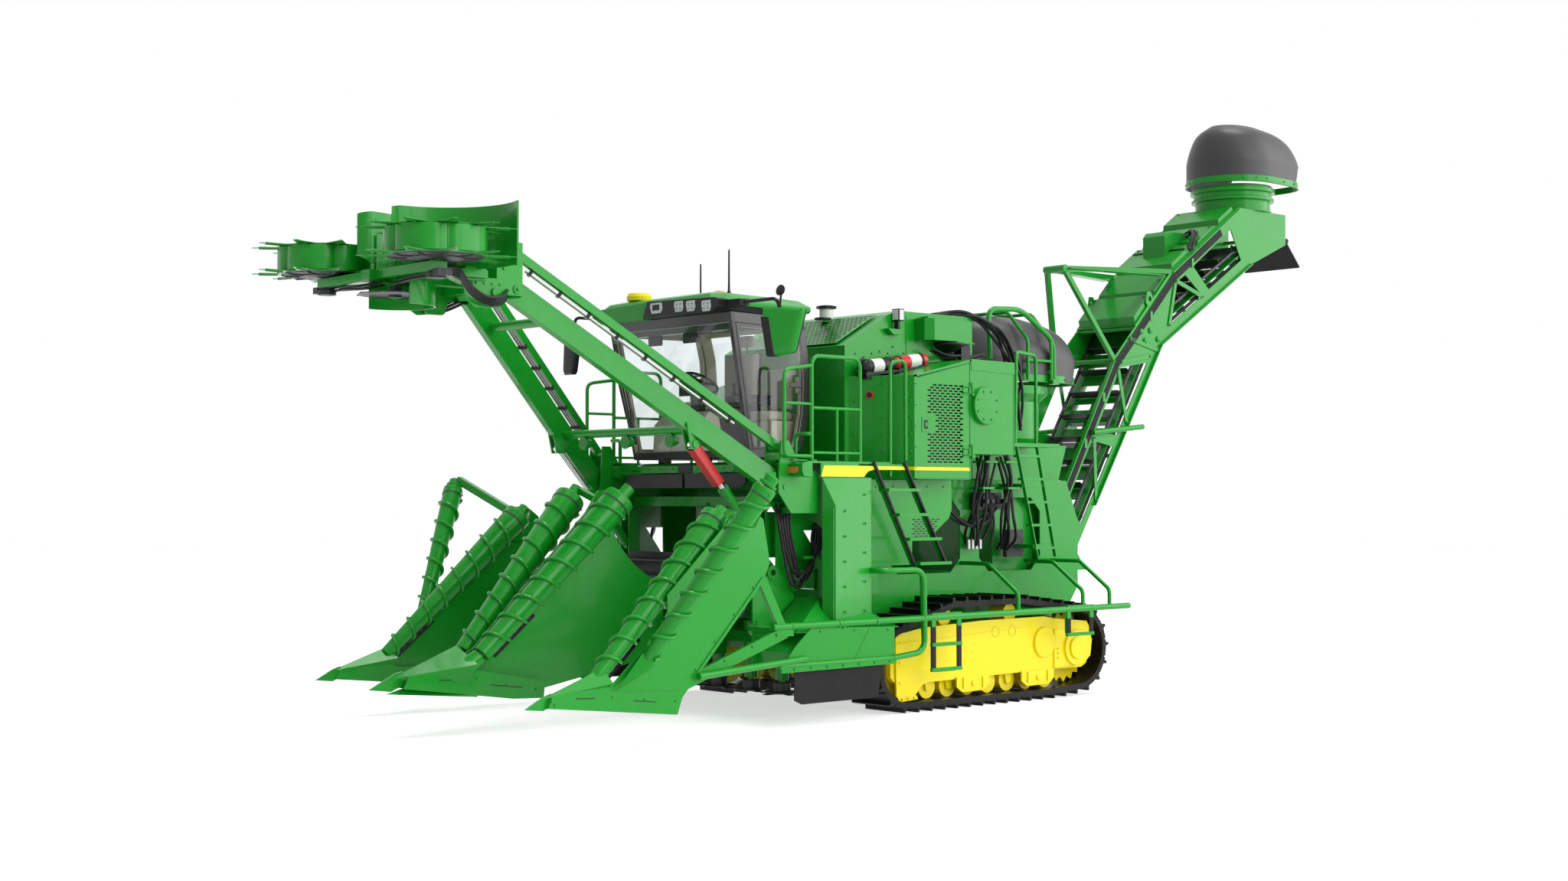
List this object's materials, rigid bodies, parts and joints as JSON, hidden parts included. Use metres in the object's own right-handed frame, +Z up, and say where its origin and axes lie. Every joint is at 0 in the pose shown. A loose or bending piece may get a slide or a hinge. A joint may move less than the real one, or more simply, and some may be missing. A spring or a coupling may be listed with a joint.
{
  "type": "sugarcane harvester",
  "caption": "Tracked harvester for cane with crop-lifting scrolls, raised topper, hollow cab, hooded extractors and a swinging rear elevator.",
  "frame": {"origin": "on the ground under the middle of the machine's overall box", "axes": "+X forward to the topper, +Y to the machine's left, +Z up"},
  "size_m": [14.48, 5.2666, 7.05],
  "materials": {
    "black_rubber": "matt black rubber",
    "cab_trim": "beige seat cloth and trim",
    "dark_plastic": "matt dark grey moulded plastic",
    "dark_steel": "bare and blackened steel",
    "glass": "clear safety glass",
    "green_paint": "gloss green paint",
    "yellow_paint": "gloss yellow paint"
  },
  "bodies": {
    "chassis": {"air_intake": "dark_steel", "basecutter_box": "green_paint", "cab_frame": "green_paint", "cab_glass": "glass", "cab_interior": "cab_trim", "cab_roof": "green_paint", "cleaning_chamber": "green_paint", "deck": "green_paint", "engine_block": "dark_steel", "engine_housing": "green_paint", "extractor_drum": "green_paint", "fenders": "green_paint", "guard_tubes": "green_paint", "handrails": "green_paint", "ladders": "green_paint", "main_frame": "green_paint", "mirrors": "dark_plastic", "mud_flaps": "black_rubber", "side_boxes": "green_paint", "throat_walls": "green_paint", "track_frame_left": "yellow_paint", "track_frame_right": "yellow_paint", "track_left": "black_rubber", "track_right": "black_rubber"},
    "cab_door_body": {"cab_door": "green_paint", "door_glass": "glass"},
    "grille_door_body": {"grille_door": "green_paint"},
    "topper_arm_body": {"topper_arms": "green_paint"},
    "topper_link_body": {"topper_links": "green_paint"},
    "topper_head_body": {"topper_head": "green_paint"},
    "drum_left_body": {"drum_left": "green_paint"},
    "drum_right_body": {"drum_right": "green_paint"},
    "topper_disc_body": {"topper_disc": "dark_steel"},
    "lift_barrel_body": {"lift_barrels": "green_paint"},
    "lift_rod_body": {"lift_rods": "dark_steel"},
    "divider_left_body": {"divider_left": "green_paint", "front_hose": "black_rubber"},
    "divider_right_body": {"divider_right": "green_paint"},
    "divider_centre_body": {"divider_centre": "green_paint"},
    "knockdown_body": {"knockdown_roller": "dark_steel"},
    "primary_hood_body": {"primary_hood": "dark_plastic", "hood_frame": "green_paint"},
    "primary_fan_body": {"primary_fan": "dark_steel"},
    "slew_body": {"elevator_turntable": "green_paint"},
    "elevator_body": {"elevator_frame": "green_paint", "elevator_chain": "dark_steel", "elevator_hoses": "black_rubber"},
    "flap_body": {"elevator_flap": "dark_plastic"},
    "secondary_hood_body": {"secondary_hood": "dark_plastic"},
    "secondary_fan_body": {"secondary_fan": "dark_steel"},
    "scroll_inner_left_body": {"scroll_inner_left": "green_paint"},
    "scroll_inner_right_body": {"scroll_inner_right": "green_paint"},
    "scroll_centre_left_body": {"scroll_centre_left": "green_paint"},
    "scroll_centre_right_body": {"scroll_centre_right": "green_paint"},
    "scroll_outer_left_body": {"scroll_outer_left": "green_paint"},
    "scroll_outer_right_body": {"scroll_outer_right": "green_paint"},
    "basecutter_1_body": {"basecutter_1": "dark_steel"},
    "basecutter_2_body": {"basecutter_2": "dark_steel"},
    "basecutter_3_body": {"basecutter_3": "dark_steel"},
    "basecutter_4_body": {"basecutter_4": "dark_steel"}
  },
  "joints": [
    {"name": "cab_door_hinge", "type": "hinge", "parent": "chassis", "child": "cab_door_body", "pos_m": [2.985, 0.955, 2.6], "axis": [-0.2035, -0.0346, -0.9785], "range_deg": [0, 44]},
    {"name": "grille_door_hinge", "type": "hinge", "parent": "chassis", "child": "grille_door_body", "pos_m": [0.52, 1.568, 2.9], "axis": [0, 0, 1], "range_deg": [0, 110]},
    {"name": "topper_lift", "type": "hinge", "parent": "chassis", "child": "topper_arm_body", "pos_m": [3.08, 0, 2.25], "axis": [0, -1, 0], "range_deg": [-58, 0]},
    {"name": "topper_link", "type": "hinge", "parent": "chassis", "child": "topper_link_body", "pos_m": [3.08, 0, 2.62], "axis": [0, -1, 0], "range_deg": [-58, 0]},
    {"name": "topper_level", "type": "hinge", "parent": "topper_arm_body", "child": "topper_head_body", "pos_m": [5.4, 0, 4.05], "axis": [0, -1, 0], "range_deg": [0, 58]},
    {"name": "drum_left_spin", "type": "hinge", "parent": "topper_head_body", "child": "drum_left_body", "pos_m": [6.557, 0.95, 4.335], "axis": [0, 0, 1], "continuous": true},
    {"name": "drum_right_spin", "type": "hinge", "parent": "topper_head_body", "child": "drum_right_body", "pos_m": [6.557, -0.95, 4.335], "axis": [0, 0, 1], "continuous": true},
    {"name": "topper_disc_spin", "type": "hinge", "parent": "topper_head_body", "child": "topper_disc_body", "pos_m": [6.4, 0, 3.965], "axis": [0, 0, 1], "continuous": true},
    {"name": "lift_barrel_swing", "type": "hinge", "parent": "chassis", "child": "lift_barrel_body", "pos_m": [2.95, 0, 1.65], "axis": [0, -1, 0], "range_deg": [-39, 0]},
    {"name": "lift_rod_slide", "type": "slide", "parent": "lift_barrel_body", "child": "lift_rod_body", "axis": [0.669, 0, 0.7433], "range_m": [-0.4558, 0]},
    {"name": "divider_left_float", "type": "hinge", "parent": "chassis", "child": "divider_left_body", "pos_m": [3.25, 0, 0.9], "axis": [0, -1, 0], "range_deg": [-4, 8]},
    {"name": "divider_right_float", "type": "hinge", "parent": "chassis", "child": "divider_right_body", "pos_m": [3.25, 0, 0.9], "axis": [0, -1, 0], "range_deg": [-4, 8]},
    {"name": "divider_centre_float", "type": "hinge", "parent": "chassis", "child": "divider_centre_body", "pos_m": [3.25, 0, 0.9], "axis": [0, -1, 0], "range_deg": [-4, 8]},
    {"name": "scroll_inner_left_spin", "type": "hinge", "parent": "divider_left_body", "child": "scroll_inner_left_body", "pos_m": [3.985, 1.6, 1.97], "axis": [-0.7284, -0.0746, 0.6811], "continuous": true},
    {"name": "scroll_inner_right_spin", "type": "hinge", "parent": "divider_right_body", "child": "scroll_inner_right_body", "pos_m": [3.985, -1.6, 1.97], "axis": [-0.7284, 0.0746, 0.6811], "continuous": true},
    {"name": "scroll_centre_left_spin", "type": "hinge", "parent": "divider_centre_body", "child": "scroll_centre_left_body", "pos_m": [4.18, 0.41, 2.15], "axis": [-0.6916, 0.1244, 0.7115], "continuous": true},
    {"name": "scroll_centre_right_spin", "type": "hinge", "parent": "divider_centre_body", "child": "scroll_centre_right_body", "pos_m": [4.18, -0.41, 2.15], "axis": [-0.6916, -0.1244, 0.7115], "continuous": true},
    {"name": "scroll_outer_left_spin", "type": "hinge", "parent": "divider_left_body", "child": "scroll_outer_left_body", "pos_m": [4.19, 2.53, 2.24], "axis": [-0.4477, 0.3482, 0.8236], "continuous": true},
    {"name": "scroll_outer_right_spin", "type": "hinge", "parent": "divider_right_body", "child": "scroll_outer_right_body", "pos_m": [4.19, -2.53, 2.24], "axis": [-0.4477, -0.3482, 0.8236], "continuous": true},
    {"name": "basecutter_1_spin", "type": "hinge", "parent": "chassis", "child": "basecutter_1_body", "pos_m": [2.4, -0.72, 0.2], "axis": [0, 0, 1], "continuous": true},
    {"name": "basecutter_2_spin", "type": "hinge", "parent": "chassis", "child": "basecutter_2_body", "pos_m": [2.4, -0.25, 0.2], "axis": [0, 0, 1], "continuous": true},
    {"name": "basecutter_3_spin", "type": "hinge", "parent": "chassis", "child": "basecutter_3_body", "pos_m": [2.4, 0.25, 0.2], "axis": [0, 0, 1], "continuous": true},
    {"name": "basecutter_4_spin", "type": "hinge", "parent": "chassis", "child": "basecutter_4_body", "pos_m": [2.4, 0.72, 0.2], "axis": [0, 0, 1], "continuous": true},
    {"name": "knockdown_spin", "type": "hinge", "parent": "chassis", "child": "knockdown_body", "pos_m": [3, 0, 1.43], "axis": [0, 1, 0], "continuous": true},
    {"name": "primary_hood_swivel", "type": "hinge", "parent": "chassis", "child": "primary_hood_body", "pos_m": [-1.4, 0, 3.46], "axis": [0, 0, 1], "range_deg": [-60, 60]},
    {"name": "primary_fan_spin", "type": "hinge", "parent": "chassis", "child": "primary_fan_body", "pos_m": [-1.4, 0, 3.15], "axis": [0, 0, 1], "continuous": true},
    {"name": "elevator_slew", "type": "hinge", "parent": "chassis", "child": "slew_body", "pos_m": [-2.3, 0, 1.3], "axis": [0, 0, 1], "range_deg": [-75, 75]},
    {"name": "elevator_lift", "type": "hinge", "parent": "slew_body", "child": "elevator_body", "pos_m": [-2.3, 0, 1.5], "axis": [0, -1, 0], "range_deg": [0, 16]},
    {"name": "flap_hinge", "type": "hinge", "parent": "elevator_body", "child": "flap_body", "pos_m": [-6.84, 0, 5.56], "axis": [0, -1, 0], "range_deg": [-30, 45]},
    {"name": "secondary_hood_swivel", "type": "hinge", "parent": "elevator_body", "child": "secondary_hood_body", "pos_m": [-6.25, 0, 6.22], "axis": [0, 0, 1], "range_deg": [-90, 90]},
    {"name": "secondary_fan_spin", "type": "hinge", "parent": "elevator_body", "child": "secondary_fan_body", "pos_m": [-6.25, 0, 6], "axis": [0, 0, 1], "continuous": true}
  ],
  "couplings": [
    {"joint": "topper_level", "follows": "topper_lift", "ratio": -1},
    {"joint": "topper_link", "follows": "topper_lift", "ratio": 1},
    {"joint": "lift_barrel_swing", "follows": "topper_lift", "ratio": 0.6507},
    {"joint": "lift_rod_slide", "follows": "topper_lift", "m_per_rad": 0.4483}
  ]
}
